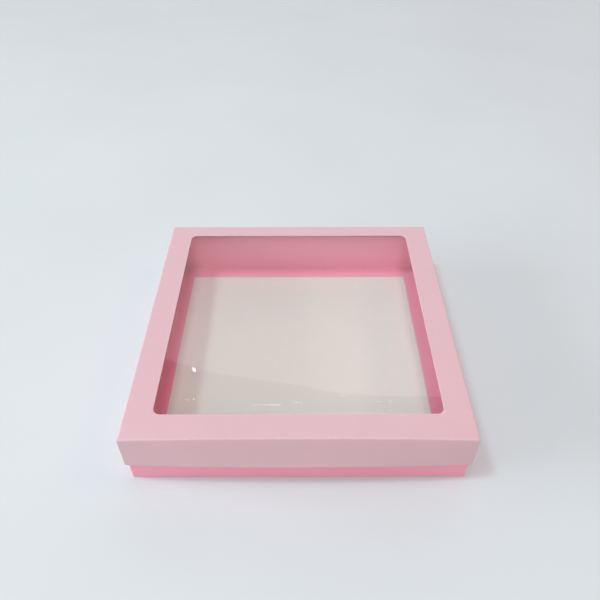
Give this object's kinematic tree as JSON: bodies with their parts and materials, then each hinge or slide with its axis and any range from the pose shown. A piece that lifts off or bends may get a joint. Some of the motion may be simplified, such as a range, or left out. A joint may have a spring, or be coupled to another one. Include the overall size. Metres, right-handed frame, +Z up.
{
  "type": "windowed gift box",
  "caption": "Shallow square folding-board gift box with double walls, floor flanges and a lift-off lid with a clear film window.",
  "frame": {"origin": "middle of the tray's underside, on the surface that the box stands on", "axes": "+Z up, the way the lid lifts; +X to the right and -Y to the front, towards the wall of the lid that bows out"},
  "size_m": [0.2, 0.2027, 0.0426],
  "materials": {
    "lid_board": "satin",
    "tray_board": "satin",
    "board_inside": "matte",
    "window_film": "gloss",
    "film_tape": "satin"
  },
  "bodies": {
    "tray": {"base_floor_panel": "board_inside", "base_front_wall": "tray_board", "base_right_wall": "tray_board", "base_back_wall": "tray_board", "base_left_wall": "tray_board", "base_front_flange": "tray_board", "base_right_flange": "tray_board", "base_back_flange": "tray_board", "base_left_flange": "tray_board", "base_tab_front_left": "tray_board", "base_tab_front_right": "tray_board", "base_tab_back_left": "tray_board", "base_tab_back_right": "tray_board"},
    "lid": {"lid_window_panel": "lid_board", "lid_front_wall": "lid_board", "lid_right_wall": "lid_board", "lid_back_wall": "lid_board", "lid_left_wall": "lid_board", "lid_tab_front_left": "lid_board", "lid_tab_front_right": "lid_board", "lid_tab_back_left": "lid_board", "lid_tab_back_right": "lid_board", "window_film": "window_film", "film_tape_front": "film_tape", "film_tape_back": "film_tape", "film_tape_left": "film_tape", "film_tape_right": "film_tape"}
  },
  "joints": [
    {"name": "lid_lift", "type": "slide", "parent": "tray", "child": "lid", "axis": [0, 0, 1], "range_m": [0, 0.06]}
  ]
}
